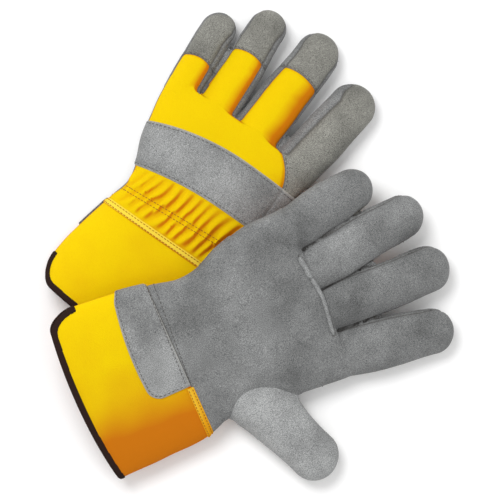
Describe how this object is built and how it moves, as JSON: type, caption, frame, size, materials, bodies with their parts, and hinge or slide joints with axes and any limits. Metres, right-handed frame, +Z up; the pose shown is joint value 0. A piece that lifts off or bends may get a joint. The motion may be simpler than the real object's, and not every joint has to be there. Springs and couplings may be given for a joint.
{
  "type": "pair of leather palm work gloves",
  "caption": "Pair of grey split-leather and yellow cotton work gloves with stiff safety cuffs, one lying across the other.",
  "frame": {"origin": "under the middle of the pair's bounding box, on the bench", "axes": "+Z up from the bench; +Y the pair's longer side, toward the left glove's fingers; +X toward the right glove's fingers"},
  "size_m": [0.282, 0.3259, 0.054],
  "materials": {
    "grey_suede": "mid-grey split cowhide with a short nap",
    "yellow_drill": "bright yellow cotton drill, matte",
    "yellow_canvas": "bright yellow rubberised canvas, matte",
    "dark_tape": "black-brown woven tape",
    "cream_lining": "unbleached cotton flannel",
    "white_elastic": "woven elastic tape"
  },
  "bodies": {
    "left_glove": {"left_back_panel": "yellow_drill", "left_cuff": "yellow_canvas", "left_cuff_binding": "dark_tape", "left_cuff_seam_band": "yellow_drill", "left_finger_root_welt": "grey_suede", "left_index_back": "grey_suede", "left_knuckle_strap": "grey_suede", "left_little_ring_side_strip": "grey_suede", "left_little_tip_cap": "grey_suede", "left_middle_front": "grey_suede", "left_middle_index_side_strip": "grey_suede", "left_middle_tip_cap": "grey_suede", "left_palm": "grey_suede", "left_palm_lining": "cream_lining", "left_pulse_patch": "grey_suede", "left_ring_front": "grey_suede", "left_ring_middle_side_strip": "grey_suede", "left_ring_tip_cap": "grey_suede", "left_thumb_back": "grey_suede", "left_thumb_front": "grey_suede", "left_wrist_elastic": "white_elastic"},
    "right_glove": {"right_back_panel": "yellow_drill", "right_cuff": "yellow_canvas", "right_cuff_binding": "dark_tape", "right_cuff_seam_band": "yellow_drill", "right_finger_root_welt": "grey_suede", "right_index_back": "grey_suede", "right_knuckle_strap": "grey_suede", "right_little_ring_side_strip": "grey_suede", "right_little_tip_cap": "grey_suede", "right_middle_front": "grey_suede", "right_middle_index_side_strip": "grey_suede", "right_middle_tip_cap": "grey_suede", "right_palm": "grey_suede", "right_palm_lining": "cream_lining", "right_pulse_patch": "grey_suede", "right_ring_front": "grey_suede", "right_ring_middle_side_strip": "grey_suede", "right_ring_tip_cap": "grey_suede", "right_thumb_back": "grey_suede", "right_thumb_front": "grey_suede", "right_wrist_elastic": "white_elastic"}
  },
  "joints": [
    {"name": "right_glove_lift", "type": "slide", "parent": "left_glove", "child": "right_glove", "axis": [0, 0, 1], "range_m": [0, 0.09]}
  ]
}
